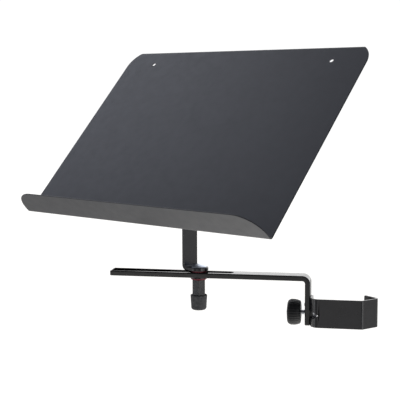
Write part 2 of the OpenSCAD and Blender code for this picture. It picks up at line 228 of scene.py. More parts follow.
def thicken(piece, thickness):
    solid = piece.modifiers.new("thickness", "SOLIDIFY")
    solid.thickness = thickness
    solid.offset = 0
    apply_all(piece)


def soften(piece, width, segments=2, sharper_than=40):
    """Breaks the sharp edges, as tumbling and paint do."""
    rounding = piece.modifiers.new("broken edges", "BEVEL")
    rounding.width = width
    rounding.segments = segments
    rounding.limit_method = "ANGLE"
    rounding.angle_limit = math.radians(sharper_than)
    rounding.use_clamp_overlap = False
    rounding.harden_normals = False
    apply_all(piece)


def combine(piece, tool, operation):
    """Cuts, joins or trims a piece with a tool body, which is used up."""
    boolean = piece.modifiers.new(operation.lower(), "BOOLEAN")
    boolean.operation = operation
    boolean.object = tool
    boolean.solver = "EXACT"
    apply_all(piece)
    bpy.data.objects.remove(tool)


def shade(piece, angle=32):
    only(piece)
    bpy.ops.object.shade_smooth_by_angle(angle=math.radians(angle))


def put(piece, place):
    """Moves a piece from the bench to its place, and keeps that place in its mesh."""
    only(piece)
    piece.matrix_world = place
    bpy.ops.object.transform_apply(location=True, rotation=True, scale=True)


def even_out_shading(piece):
    """Lets large flat faces keep their own shading beside narrow rounded edges."""
    weighted = piece.modifiers.new("even shading", "WEIGHTED_NORMAL")
    weighted.keep_sharp = True
    weighted.weight = 100
    apply_all(piece)


def fit(piece, place, body, slot, material, *nodes, shading=32):
    put(piece, place)
    shade(piece, shading)
    even_out_shading(piece)
    piece.data.materials.clear()
    piece.data.materials.append(material)
    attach(piece, body)
    if nodes:
        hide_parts(*nodes)
    return piece


# ---- Sheet and strip work ----


def blank(name, width, low, high, low_corner=0.0, high_corner=0.0, segments=16):
    """A flat blank from low to high along Y, centred across X, with rounded corners at each end."""
    bpy.ops.mesh.primitive_plane_add(size=1)
    piece = named(name)
    bpy.ops.transform.resize(value=(width, high - low, 1))
    bpy.ops.transform.translate(value=(0, (low + high) / 2, 0))
    for edge, radius in ((low, low_corner), (high, high_corner)):
        if radius > 0:
            pick(piece, "VERT", lambda v: abs(v.co.y - edge) < TINY)
            bpy.ops.mesh.bevel(offset=radius, segments=segments, affect="VERTICES")
    bpy.ops.mesh.select_all(action="SELECT")
    bpy.ops.mesh.remove_doubles(threshold=TINY)
    close_mesh()
    return piece


def fold_steps(angle):
    """One step for each nine degrees."""
    return max(2, round(abs(angle) / math.radians(9)))


def chord_of(mid_radius, angle, steps):
    return 2 * mid_radius * math.sin(abs(angle) / steps / 2)


def score(piece, lines):
    """Cuts the mesh across at each line where it will bend."""
    open_mesh(piece)
    for line in lines:
        bpy.ops.mesh.select_all(action="SELECT")
        bpy.ops.mesh.bisect(plane_co=(0, line, 0), plane_no=(0, 1, 0))
    close_mesh()


def fold(piece, flat, lines, angle):
    """Bends what lies beyond a fold's lines, a step at each line. A positive angle lifts it."""
    last = len(lines) - 1
    open_mesh(piece)
    for k in reversed(range(last + 1)):
        share = angle / last / (2 if k in (0, last) else 1)
        pick(piece, "VERT", lambda v: flat[v.index] - lines[k] > TINY)
        turn_selection(share, "X", (0, lines[k], 0))
    close_mesh()


def strip(name, width, thickness, inner_radii, stretches, turns, low_corner=0.0, high_corner=0.0):
    """A flat strip folded along its length, from the lengths between its corners and the turns at them.

    It starts at the origin along Y. The lengths are measured along the middle of its thickness."""
    mid_radii = [inner_r + thickness / 2 for inner_r in inner_radii]
    setbacks = [mid_r * math.tan(abs(turn) / 2) for mid_r, turn in zip(mid_radii, turns)]
    folds, y = [], 0.0
    for k, turn in enumerate(turns):
        y += stretches[k] - setbacks[k] - (setbacks[k - 1] if k else 0.0)
        steps = fold_steps(turn)
        chord = chord_of(mid_radii[k], turn, steps)
        folds.append([y + chord * step for step in range(steps + 1)])
        y = folds[-1][-1]
    end = y + stretches[-1] - (setbacks[-1] if setbacks else 0.0)
    piece = blank(name, width, 0.0, end, low_corner, high_corner)
    for lines in folds:
        score(piece, lines)
    thicken(piece, thickness)
    flat = [vertex.co.y for vertex in piece.data.vertices]
    for lines, turn in reversed(list(zip(folds, turns))):
        fold(piece, flat, lines, turn)
    return piece


def round_cutter(radius, depth, place, steps=64):
    bpy.ops.mesh.primitive_cylinder_add(vertices=steps, radius=radius, depth=depth)
    cutter = bpy.context.object
    put(cutter, place)
    return cutter


def at(x, y, z):
    return Matrix.Translation((x, y, z))


# ---- Turned and hexagonal work ----


def arc(centre_r, centre_z, radius, start, stop, steps):
    """Points of an arc in a turned outline, as (radius, height)."""
    angles = [math.radians(start + (stop - start) * k / steps) for k in range(steps + 1)]
    return [(centre_r + radius * math.cos(a), centre_z + radius * math.sin(a)) for a in angles]


def filleted(corners, steps=6):
    """An outline from corners of (radius, height, fillet), with each corner rounded by its fillet."""
    points = []
    for k, (r, z, fillet) in enumerate(corners):
        corner = Vector((r, z))
        if fillet <= 0:
            points.append((r, z))
            continue
        back = (Vector(corners[k - 1][:2]) - corner).normalized()
        on = (Vector(corners[k + 1][:2]) - corner).normalized()
        half = back.angle(on) / 2
        centre = corner + (back + on).normalized() * fillet / math.sin(half)
        start = corner + back * fillet / math.tan(half) - centre
        stop = corner + on * fillet / math.tan(half) - centre
        sweep = math.pi - 2 * half
        side = 1 if start.x * stop.y - start.y * stop.x > 0 else -1
        for step in range(steps + 1):
            turn = Matrix.Rotation(side * sweep * step / steps, 2)
            points.append(tuple(centre + turn @ start))
    return points


def drawn(name, outline, lift=0.0):
    """A line through (radius, height) points, drawn lift higher and left open for editing."""
    bpy.ops.mesh.primitive_plane_add(size=1)
    piece = named(name)
    bpy.ops.mesh.select_mode(type="VERT")
    bpy.ops.mesh.merge(type="CENTER")
    bpy.ops.transform.translate(value=(outline[0][0], 0, outline[0][1] + lift))
    for here, there in zip(outline, outline[1:]):
        step = (there[0] - here[0], 0, there[1] - here[1])
        bpy.ops.mesh.extrude_vertices_move(TRANSFORM_OT_translate={"value": step})
    return piece


def turned(name, outline, steps=64):
    """A body turned about Z from an outline of (radius, height) points."""
    piece = drawn(name, outline)
    bpy.ops.mesh.select_all(action="SELECT")
    bpy.ops.mesh.spin(steps=steps, angle=2 * math.pi, center=(0, 0, 0), axis=(0, 0, 1))
    bpy.ops.mesh.select_all(action="SELECT")
    bpy.ops.mesh.remove_doubles(threshold=TINY)
    bpy.ops.mesh.normals_make_consistent(inside=False)
    close_mesh()
    return piece


def washer(name, outer, inner, low, high, edge):
    """A stamped washer: a ring with broken edges."""
    ring = [(inner, low), (outer, low), (outer, high), (inner, high), (inner, low)]
    piece = turned(name, ring, 72)
    soften(piece, edge)
    return piece


def threaded(name, radius, pitch, low, high, lead):
    """A screw thread along Z, trimmed to length, with a chamfered lead at both ends."""
    root = radius - THREAD_DEPTH * pitch
    tooth = [(root, 0), (root, pitch / 8), (radius, pitch * 7 / 16), (radius, pitch * 9 / 16),
             (root, pitch * 7 / 8), (root, pitch)]
    piece = drawn(name, tooth, low - pitch)
    close_mesh()
    helix = piece.modifiers.new("helix", "SCREW")
    helix.axis = "Z"
    helix.angle = 2 * math.pi
    helix.screw_offset = pitch
    helix.iterations = math.ceil((high - low) / pitch) + 2
    helix.steps = 20
    helix.render_steps = 20
    apply_all(piece)
    open_mesh(piece)
    bpy.ops.mesh.select_all(action="SELECT")
    bpy.ops.mesh.remove_doubles(threshold=TINY)
    for height, direction in ((low, -1), (high, 1)):
        bpy.ops.mesh.select_all(action="SELECT")
        bpy.ops.mesh.bisect(plane_co=(0, 0, height), plane_no=(0, 0, direction),
                            clear_outer=True, use_fill=True)
    bpy.ops.mesh.select_all(action="SELECT")
    bpy.ops.mesh.normals_make_consistent(inside=False)
    close_mesh()
    outline = [(0, low), (radius - lead, low), (radius, low + lead), (radius, high - lead),
               (radius - lead, high), (0, high)]
    combine(piece, turned("lead", outline, 48), "INTERSECT")
    return piece


def hexagon(name, across, low, high, chamfer_high=True, turn=0.0):
    """A hexagon across its flats, with the corners turned down at its low end and, if wanted, its high."""
    corner_r = across / 2 / math.cos(math.pi / 6)
    bpy.ops.mesh.primitive_cylinder_add(vertices=6, radius=corner_r, depth=high - low)
    piece = named(name)
    turn_selection(QUARTER + turn, "Z", (0, 0, 0))
    bpy.ops.transform.translate(value=(0, 0, (low + high) / 2))
    close_mesh()
    reach = corner_r * CHAMFER_PAST
    flat_r = across / 2 * CHAMFER_FROM
    drop = (reach - flat_r) * math.tan(CHAMFER_SLOPE)
    lower = [(0, low), (flat_r, low), (reach, low + drop)]
    upper = [(reach, high), (0, high)]
    if chamfer_high:
        upper = [(reach, high - drop), (flat_r, high), (0, high)]
    combine(piece, turned("chamfers", lower + upper, 72), "INTERSECT")
    return piece


# ---- Finishes ----


class Finish:
    """A painted, plated or moulded finish, built from nodes that read Object coordinates."""

    def __init__(self, name, roughness, metallic=0.0, **sockets):
        self.material = bpy.data.materials.new(name)
        self.material.use_nodes = True
        self.tree = self.material.node_tree
        self.shader = self.tree.nodes["Principled BSDF"]
        self.shader.inputs["Roughness"].default_value = roughness
        self.shader.inputs["Metallic"].default_value = metallic
        for socket, value in sockets.items():
            self.shader.inputs[socket.replace("_", " ")].default_value = value
        self.where = self.tree.nodes.new("ShaderNodeTexCoord").outputs["Object"]

    def link(self, source, target):
        self.tree.links.new(source, target)

    def noise(self, size, detail=3.0):
        """Noise whose features are about size wide, in metres."""
        node = self.tree.nodes.new("ShaderNodeTexNoise")
        node.inputs["Scale"].default_value = 1 / size
        node.inputs["Detail"].default_value = detail
        node.inputs["Roughness"].default_value = 0.5
        self.link(self.where, node.inputs["Vector"])
        return node.outputs["Fac"]

    def cells(self, size):
        """Crystal-like cells about size wide, in metres."""
        node = self.tree.nodes.new("ShaderNodeTexVoronoi")
        node.inputs["Scale"].default_value = 1 / size
        self.link(self.where, node.inputs["Vector"])
        return node.outputs["Distance"]

    def stretch(self, scale):
        """Squeezes all the patterns that follow, by a factor along each axis."""
        node = self.tree.nodes.new("ShaderNodeMapping")
        node.inputs["Scale"].default_value = scale
        self.link(self.where, node.inputs["Vector"])
        self.where = node.outputs["Vector"]

    def levels(self, source, low, high, to_low=0.0, to_high=1.0):
        """Maps the range low to high of a value onto another range."""
        node = self.tree.nodes.new("ShaderNodeMapRange")
        node.inputs["From Min"].default_value = low
        node.inputs["From Max"].default_value = high
        node.inputs["To Min"].default_value = to_low
        node.inputs["To Max"].default_value = to_high
        self.link(source, node.inputs["Value"])
        return node.outputs["Result"]

    def tint(self, pattern, low, high, dark, light):
        """Colours the surface from dark to light while a pattern goes from low to high."""
        node = self.tree.nodes.new("ShaderNodeMix")
        node.data_type = "RGBA"
        self.link(self.levels(pattern, low, high), node.inputs[0])
        node.inputs[6].default_value = (*dark, 1)
        node.inputs[7].default_value = (*light, 1)
        self.link(node.outputs[2], self.shader.inputs["Base Color"])

    def sheen(self, pattern, smooth, rough, low=0.3, high=0.7):
        """Lets the roughness wander from smooth to rough while a pattern goes from low to high."""
        self.link(self.levels(pattern, low, high, smooth, rough), self.shader.inputs["Roughness"])

    def bump(self, height, depth):
        node = self.tree.nodes.new("ShaderNodeBump")
        node.inputs["Strength"].default_value = 1.0
        node.inputs["Distance"].default_value = depth
        self.link(height, node.inputs["Height"])
        self.link(node.outputs["Normal"], self.shader.inputs["Normal"])


def desk_powder_coat():
    coat = Finish("desk_powder_coat", 0.42, Specular_IOR_Level=0.5)
    coat.tint(coat.noise(60 * MM, 4), 0.35, 0.65, (0.0125, 0.0135, 0.0175), (0.015, 0.016, 0.0205))
    coat.sheen(coat.noise(9 * MM), 0.39, 0.45)
    coat.bump(coat.noise(0.55 * MM, 2), 0.012 * MM)
    return coat.material


def arm_lacquer():
    coat = Finish("arm_lacquer", 0.2, Specular_IOR_Level=0.5)
    coat.tint(coat.noise(25 * MM), 0.35, 0.65, (0.005, 0.005, 0.0055), (0.008, 0.008, 0.0085))
    coat.sheen(coat.noise(6 * MM, 4), 0.16, 0.24)
    coat.bump(coat.noise(1.8 * MM, 2), 0.008 * MM)
    return coat.material


def hook_powder_coat():
    coat = Finish("hook_powder_coat", 0.38, Specular_IOR_Level=0.5)
    coat.tint(coat.noise(20 * MM), 0.35, 0.65, (0.012, 0.012, 0.014), (0.017, 0.017, 0.0195))
    coat.sheen(coat.noise(5 * MM), 0.19, 0.25)
    coat.bump(coat.noise(0.7 * MM, 2), 0.005 * MM)
    return coat.material


def black_oxide():
    coat = Finish("black_oxide", 0.4, metallic=0.6)
    coat.tint(coat.noise(4 * MM, 4), 0.3, 0.7, (0.025, 0.025, 0.027), (0.05, 0.05, 0.052))
    coat.sheen(coat.noise(2 * MM, 4), 0.2, 0.32)
    coat.bump(coat.noise(0.3 * MM, 2), 0.01 * MM)
    return coat.material


def zinc_plate():
    coat = Finish("zinc_plate", 0.3, metallic=1.0)
    coat.tint(coat.cells(1.5 * MM), 0.1, 0.7, (0.55, 0.57, 0.60), (0.72, 0.73, 0.75))
    coat.sheen(coat.noise(1.2 * MM, 4), 0.22, 0.38)
    coat.bump(coat.noise(0.4 * MM), 0.008 * MM)
    return coat.material


def bright_nickel():
    coat = Finish("bright_nickel", 0.08, metallic=1.0)
    coat.tint(coat.noise(3 * MM), 0.3, 0.7, (0.70, 0.74, 0.80), (0.80, 0.84, 0.90))
    coat.sheen(coat.noise(0.8 * MM, 5), 0.40, 0.52, 0.35, 0.75)
    coat.bump(coat.noise(1.5 * MM, 2), 0.004 * MM)
    return coat.material


def knob_plastic():
    coat = Finish("knob_plastic", 0.5, Specular_IOR_Level=0.35)
    coat.tint(coat.noise(3 * MM), 0.35, 0.65, (0.007, 0.007, 0.0075), (0.012, 0.012, 0.0125))
    coat.sheen(coat.noise(1 * MM), 0.42, 0.58)
    coat.bump(coat.noise(0.35 * MM, 2), 0.02 * MM)
    return coat.material


def pad_nylon():
    coat = Finish("pad_nylon", 0.45)
    coat.tint(coat.noise(2 * MM), 0.35, 0.65, (0.022, 0.022, 0.023), (0.034, 0.034, 0.035))
    coat.sheen(coat.noise(0.9 * MM), 0.38, 0.52)
    coat.bump(coat.noise(0.5 * MM, 2), 0.012 * MM)
    return coat.material


def cap_rubber():
    coat = Finish("cap_rubber", 0.75, Specular_IOR_Level=0.35)
    coat.tint(coat.noise(2.5 * MM, 5), 0.45, 0.7, (0.062, 0.062, 0.065), (0.105, 0.105, 0.108))
    coat.sheen(coat.noise(1 * MM), 0.68, 0.86)
    coat.bump(coat.noise(0.45 * MM), 0.03 * MM)
    return coat.material


def red_fibre():
    coat = Finish("red_fibre", 0.6)
    coat.sheen(coat.noise(0.8 * MM), 0.5, 0.7)
    coat.stretch((1, 1, 5))
    strands = coat.noise(0.5 * MM, 4)
    coat.tint(strands, 0.3, 0.7, (0.14, 0.013, 0.024), (0.27, 0.036, 0.052))
    coat.bump(strands, 0.02 * MM)
    return coat.material


desk_finish = desk_powder_coat()
arm_finish = arm_lacquer()
hook_finish = hook_powder_coat()
oxide_finish = black_oxide()
zinc_finish = zinc_plate()
nickel_finish = bright_nickel()
knob_finish = knob_plastic()
pad_finish = pad_nylon()
rubber_finish = cap_rubber()
fibre_finish = red_fibre()

node_finishes = {
    "desk_steel": desk_finish, "arm_steel": arm_finish, "hook_steel": hook_finish,
    "blackened_steel": oxide_finish, "zinc_steel": zinc_finish, "bright_steel": nickel_finish,
    "knob_plastic": knob_finish, "pad_plastic": pad_finish, "cap_rubber": rubber_finish,
    "red_fibre": fibre_finish,
}
for part in frame["record"]["subparts"]:
    cad_materials = frame["nodes"][part["node"]].data.materials
    cad_materials.clear()
    cad_materials.append(node_finishes[part["material_slot"]])

# ---- Desk ----


def desk_frame():
    """The desk's own frame: origin on the outer corner of the lip's fold, Z out of its front."""
    face = Vector(mounts["desk_face"]["pos_m"])
    square = placed(face, along_desk, up_desk, out_of_desk)
    low, _ = extent("desk_plate", square)
    origin = face + up_desk * low.y - out_of_desk * SHEET_T
    return placed(origin, along_desk, up_desk, out_of_desk)


desk_place = desk_frame()


def make_desk_sheet():
    """One sheet: a lip, a large panel and a turned-back top edge, folded from a flat blank."""
    low, high = extent("desk_plate", desk_place)
    width, height = high.x - low.x, high.y
    mid = SHEET_T / 2
    stretches = [high.z - mid, height - SHEET_T, mid - low.z]
    piece = strip("desk_sheet", width, SHEET_T, [SHEET_FOLD_R] * 2, stretches, [QUARTER, -QUARTER],
                  DESK_CORNER_R, TOP_CORNER_R)
    put(piece, placed(Vector((0, mid, high.z)), X, -Z, Y))
    soften(piece, SHEET_EDGE, 3)
    for side in (-1, 1):
        hole = at(side * (width / 2 - HANGING_HOLE_SIDE), height - HANGING_HOLE_DOWN, 0)
        combine(piece, round_cutter(HANGING_HOLE_R, 6 * SHEET_T, hole), "DIFFERENCE")
    fit(piece, desk_place, "desk", "desk_steel", desk_finish, "desk_plate")


def make_tilt_bracket():
    """A base plate on the panel's back, and a bent channel whose two ears hold the tilt bolt."""
    low, high = extent("tilt_bracket", desk_place)
    middle_y = (low.y + high.y) / 2
    mid = BRACKET_T / 2
    plate = blank("tilt_bracket", high.x - low.x, low.y, high.y, BRACKET_CORNER_R, BRACKET_CORNER_R, 8)
    thicken(plate, BRACKET_T)
    put(plate, at(0, 0, -mid))
    window_from, window_to = EAR_GAP / 2 + BRACKET_T, high.x - BRACKET_CORNER_R
    for side in (-1, 1):
        window = blank("window", window_to - window_from, middle_y - EAR_R, middle_y + EAR_R,
                       BRACKET_WINDOW_R, BRACKET_WINDOW_R, 6)
        thicken(window, 3 * BRACKET_T)
        put(window, at(side * (window_from + window_to) / 2, 0, -mid))
        combine(plate, window, "DIFFERENCE")
    ear_l = -low.z - mid
    channel = strip("channel", 2 * EAR_R, BRACKET_T, [BRACKET_BEND_R] * 2,
                    [ear_l, EAR_GAP + BRACKET_T, ear_l], [-QUARTER, -QUARTER],
                    EAR_R * FULL_ROUND, EAR_R * FULL_ROUND)
    put(channel, placed(Vector((-(EAR_GAP + BRACKET_T) / 2, middle_y, low.z)), Y, Z, X))
    combine(plate, channel, "UNION")
    bore = placed(Vector((0, middle_y, low.z + EAR_R)), -Z, Y, X)
    combine(plate, round_cutter(TILT_BOLT_R + RUN_GAP, 4 * EAR_GAP, bore), "DIFFERENCE")
    soften(plate, BRACKET_EDGE)
    fit(plate, desk_place, "desk", "hook_steel", hook_finish, "tilt_bracket")


make_desk_sheet()
make_tilt_bracket()

# ---- Tilt bolt ----


def make_tilt_bolt():
    low, high = extent("tilt_bolt", tilt_place)
    head_t = HEAD_T * TILT_BOLT_R
    across = TILT_BOLT_R * 10 / 3
    head = hexagon("tilt_bolt_head", across, low.z, low.z + head_t, chamfer_high=False)
    soften(head, TILT_BOLT_EDGE)
    fit(head, tilt_place, "desk", "blackened_steel", oxide_finish, "tilt_bolt")
    shank = threaded("tilt_bolt_thread", TILT_BOLT_R, TILT_BOLT_PITCH, low.z + head_t / 2, high.z,
                     TILT_LEAD)
    fit(shank, tilt_place, "desk", "blackened_steel", oxide_finish)
    low, high = extent("tilt_nut", tilt_place)
    nut = hexagon("tilt_nut", across, low.z, high.z)
    combine(nut, round_cutter(TILT_BOLT_R + RUN_GAP, TILT_NUT_CUTTER, at(0, 0, 0)), "DIFFERENCE")
    soften(nut, TILT_BOLT_EDGE)
    fit(nut, tilt_place, "desk", "blackened_steel", oxide_finish, "tilt_nut")
    low, high = extent("tilt_washer", tilt_place)
    plain = washer("tilt_washer", high.x, TILT_BOLT_R + RUN_GAP, low.z, high.z, TILT_WASHER_EDGE)
    fit(plain, tilt_place, "desk", "blackened_steel", oxide_finish, "tilt_washer")
    low, high = extent("tilt_fibre_washers", tilt_place)
    inner = STRAP_T / 2
    right = washer("tilt_fibre_washer_right", high.x, TILT_BOLT_R + RUN_GAP, inner, high.z, TILT_FIBRE_EDGE)
    fit(right, tilt_place, "desk", "red_fibre", fibre_finish, "tilt_fibre_washers")
    left = washer("tilt_fibre_washer_left", high.x, TILT_BOLT_R + RUN_GAP, low.z, -inner, TILT_FIBRE_EDGE)
    fit(left, tilt_place, "desk", "red_fibre", fibre_finish)


make_tilt_bolt()

# ---- Support strap and pivot bolt ----


def make_support_strap():
    low, high = extent("support_strap", pivot_place)
    half_w = high.y
    foot_z = low.z + STRAP_T / 2
    strap_x = low.x + STRAP_T / 2
    stretches = [half_w - strap_x, high.z - foot_z]
    piece = strip("support_strap", 2 * half_w, STRAP_T, [STRAP_BEND_R], stretches, [QUARTER],
                  half_w * FULL_ROUND, half_w * FULL_ROUND)
    put(piece, placed(Vector((half_w, 0, foot_z)), Y, -X, Z))
    bore = placed(Vector((strap_x, 0, high.z - half_w)), -Z, Y, X)
    combine(piece, round_cutter(TILT_BOLT_R + RUN_GAP, 4 * STRAP_T, bore), "DIFFERENCE")
    bpy.ops.mesh.primitive_cube_add(size=BOLT_NECK + 2 * RUN_GAP)
    square = bpy.context.object
    put(square, at(0, 0, foot_z))
    combine(piece, square, "DIFFERENCE")
    soften(piece, STRIP_EDGE, 3)
    fit(piece, pivot_place, "support", "hook_steel", hook_finish, "support_strap")


def make_pivot_bolt():
    """A bolt with a low domed head and a square neck that the strap holds from turning."""
    low, high = extent("pivot_bolt", pivot_place)
    strap_low, _ = extent("support_strap", pivot_place)
    seat_z = strap_low.z + STRAP_T
    head_h = high.z - seat_z
    head_r = high.x
    rim = 0.5 * MM
    cap_h = head_h - rim
    ball_r = (head_r ** 2 + cap_h ** 2) / (2 * cap_h)
    rim_angle = math.degrees(math.acos(head_r / ball_r))
    dome = arc(0, high.z - ball_r, ball_r, 90, rim_angle, 14)
    dome[0] = (0, high.z)
    head = turned("pivot_bolt_head", dome + [(head_r, seat_z), (0, seat_z)], 96)
    bpy.ops.mesh.primitive_cube_add(size=1)
    neck = bpy.context.object
    neck_size = Matrix.Diagonal((BOLT_NECK, BOLT_NECK, STRAP_T + rim, 1))
    put(neck, at(0, 0, seat_z - STRAP_T / 2) @ neck_size)
    combine(head, neck, "UNION")
    soften(head, PIVOT_HEAD_EDGE, 3, 30)
    fit(head, pivot_place, "support", "bright_steel", nickel_finish, "pivot_bolt")
    thread = threaded("pivot_bolt_thread", BOLT_R, BOLT_PITCH, low.z, strap_low.z, LEAD)
    fit(thread, pivot_place, "support", "bright_steel", nickel_finish)


make_support_strap()
make_pivot_bolt()

# ---- Washers, sleeve nut and rubber cap under the arm ----


def make_stack_washer(node, body, slot, finish, edge):
    low, high = extent(node, stack_place)
    piece = washer(node + "_ring", high.x, BOLT_R + RUN_GAP, low.z + FACE_GAP, high.z - FACE_GAP,
                   edge)
    fit(piece, stack_place, body, slot, finish, node)


def make_sleeve_nut():
    low, high = extent("sleeve_nut", stack_place)
    piece = hexagon("sleeve_nut_hex", NUT_ACROSS, low.z, high.z, turn=NUT_TURN)
    middle = at(0, 0, (low.z + high.z) / 2)
    combine(piece, round_cutter(BOLT_R + RUN_GAP, 2 * (high.z - low.z), middle), "DIFFERENCE")
    soften(piece, SLEEVE_NUT_EDGE, 3)
    fit(piece, stack_place, "locking_nut", "blackened_steel", oxide_finish, "sleeve_nut")


def make_rubber_cap():
    """A thick-walled cap pushed over the sleeve nut's lower end, wider at its mouth."""
    low, high = extent("rubber_cap", stack_place)
    mouth_r = high.x
    bore_r = mouth_r - CAP_WALL
    mouth_round, floor_round = 0.6 * MM, 0.4 * MM
    floor_z = low.z + CAP_FLOOR
    outline = filleted([(0, low.z, 0), (mouth_r - CAP_TAPER, low.z, CAP_ROUND_R),
                        (mouth_r, high.z, mouth_round), (bore_r, high.z, mouth_round),
                        (bore_r, floor_z, floor_round), (0, floor_z, 0)])
    piece = turned("rubber_cap_sleeve", outline, 96)
    fit(piece, stack_place, "locking_nut", "cap_rubber", rubber_finish, "rubber_cap")


make_stack_washer("upper_fibre_washer", "carriage", "red_fibre", fibre_finish, FIBRE_EDGE)
make_stack_washer("plate_washer", "under_washers", "blackened_steel", oxide_finish, PLATE_EDGE)
make_stack_washer("lower_fibre_washer", "under_washers", "red_fibre", fibre_finish, FIBRE_EDGE)
make_sleeve_nut()
make_rubber_cap()

# ---- Arm ----


def make_arm():
    low, high = extent("slotted_arm", Matrix.Identity(4))
    mid = ARM_T / 2
    stretches = [high.x - mid - low.x, high.z - mid - low.z]
    piece = strip("slotted_arm_bar", high.y - low.y, ARM_T, [ARM_BEND_R], stretches, [-QUARTER],
                  ARM_CORNER_R, ARM_CORNER_R)
    slot_end = SLOT_START + SLOT_L
    slot_r = SLOT_W / 2 * FULL_ROUND
    slot_body = blank("slot", SLOT_W, SLOT_START, slot_end, slot_r, slot_r, 24)
    thicken(slot_body, 3 * ARM_T)
    combine(piece, slot_body, "DIFFERENCE")
    put(piece, placed(Vector((low.x, 0, high.z - mid)), -Y, X, Z))
    bore = placed(Vector((high.x, 0, 0)), -Z, Y, X)
    combine(piece, round_cutter(SCREW_HOLE_R, LEG_CUTTER, bore), "DIFFERENCE")
    soften(piece, ARM_EDGE, 4)
    fit(piece, Matrix.Identity(4), "arm", "arm_steel", arm_finish, "slotted_arm")


make_arm()

# ---- Tube hook ----


def make_window_cutter(leg_x, wall_y):
    """A pointed prism: its broad end opens through the leg side, its point lies in the side wall."""
    bpy.ops.mesh.primitive_plane_add(size=1)
    cutter = named("window")
    start, shoulder = -2 * HOOK_T, WINDOW_L / 3
    bpy.ops.transform.resize(value=(shoulder - start, WINDOW_H, 1))
    bpy.ops.transform.translate(value=((start + shoulder) / 2, 0, 0))
    pick(cutter, "EDGE", lambda e: all(abs(v.co.x - shoulder) < TINY for v in e.verts))
    bpy.ops.mesh.extrude_region_move(TRANSFORM_OT_translate={"value": (WINDOW_L - shoulder, 0, 0)})
    bpy.ops.mesh.merge(type="CENTER")
    close_mesh()
    thicken(cutter, HOOK_T + 2 * HOOK_BEND_R)
    put(cutter, placed(Vector((leg_x, wall_y, 0)), X, Z, -Y))
    return cutter


def make_tube_hook():
    """A strip bent into a flap, a long side wall and a V that takes the tube."""
    low, high = extent("tube_hook", Matrix.Identity(4))
    mid = HOOK_T / 2
    apex = math.sqrt(2) * (TUBE_R + mid)
    wall_y = low.y + mid
    flap_x = low.x + mid
    stretches = [FLAP_PAST - wall_y, apex + wall_y - flap_x, -wall_y * math.sqrt(2),
                 HOOK_TIP * math.sqrt(2)]
    piece = strip("tube_hook_strip", high.z - low.z, HOOK_T, [HOOK_BEND_R, HOOK_SEAT_R, HOOK_SEAT_R],
                  stretches, [QUARTER, QUARTER / 2, QUARTER], HOOK_CORNER_R, HOOK_CORNER_R)
    put(piece, placed(Vector((flap_x, FLAP_PAST, (low.z + high.z) / 2)), Z, -Y, X))
    combine(piece, make_window_cutter(low.x, wall_y), "DIFFERENCE")
    bore = placed(Vector((flap_x, 0, 0)), -Z, Y, X)
    combine(piece, round_cutter(SCREW_HOLE_R, 6 * HOOK_T, bore), "DIFFERENCE")
    soften(piece, STRIP_EDGE, 3)
    fit(piece, Matrix.Identity(4), "arm", "hook_steel", hook_finish, "tube_hook")


def make_hook_rivet():
    low, high = extent("hook_rivet", screw_place)
    middle = (low + high) / 2
    head_r, head_h, shank_r = 2.5 * MM, 1.2 * MM, 1.5 * MM
    grip_low, grip_high = low.z + head_h, high.z - head_h
    dome = [(0, 0), (0.5 * head_r, 0.1 * head_h), (0.85 * head_r, 0.45 * head_h)]
    outline = [(r, low.z + z) for r, z in dome]
    outline += [(head_r, grip_low), (shank_r, grip_low), (shank_r, grip_high), (head_r, grip_high)]
    outline += [(r, high.z - z) for r, z in reversed(dome)]
    piece = turned("hook_rivet_pin", outline, 48)
    fit(piece, screw_place @ at(middle.x, middle.y, 0), "arm", "hook_steel", hook_finish, "hook_rivet",
        shading=60)


def make_square_nut():
    low, high = extent("square_nut", screw_place)
    bpy.ops.mesh.primitive_cube_add(size=1)
    piece = named("square_nut_block")
    bpy.ops.transform.resize(value=(high.x - low.x, high.y - low.y, high.z - low.z))
    bpy.ops.transform.translate(value=(0, 0, (low.z + high.z) / 2))
    close_mesh()
    # The square's corners lie at 0.707 of its width, so the lead's low part clears them.
    drop = 1.2 * MM
    reach = (high.x - low.x) * 0.72
    flat_r = (high.x - low.x) / 2 * CHAMFER_FROM
    outline = [(0, low.z), (reach, low.z), (reach, high.z - drop), (flat_r, high.z), (0, high.z)]
    combine(piece, turned("lead", outline, 72), "INTERSECT")
    combine(piece, round_cutter(SCREW_R + RUN_GAP, SQUARE_NUT_CUTTER, at(0, 0, low.z)), "DIFFERENCE")
    soften(piece, SQUARE_NUT_EDGE)
    fit(piece, screw_place, "arm", "zinc_steel", zinc_finish, "square_nut")


make_tube_hook()
make_hook_rivet()
make_square_nut()

# ---- Clamp screw, knob and pad ----

KNOB_RIBS = 30
RIB_STEPS = 6
# The knob's skin starts at this share of its radius
SKIN_FROM = 0.8
# Scale of the skin along a groove's middle and along its two sides, by columns of points
GROOVE_SCALES = ((0, 0.972), (1, 0.989), (RIB_STEPS - 1, 0.989))


def make_clamp_screw():
    low, high = extent("clamp_screw", screw_place)
    head_t = HEAD_T * SCREW_R
    piece = threaded("clamp_screw_thread", SCREW_R, SCREW_PITCH, low.z + head_t / 2, high.z, LEAD)
    fit(piece, screw_place, "knob", "zinc_steel", zinc_finish, "clamp_screw")


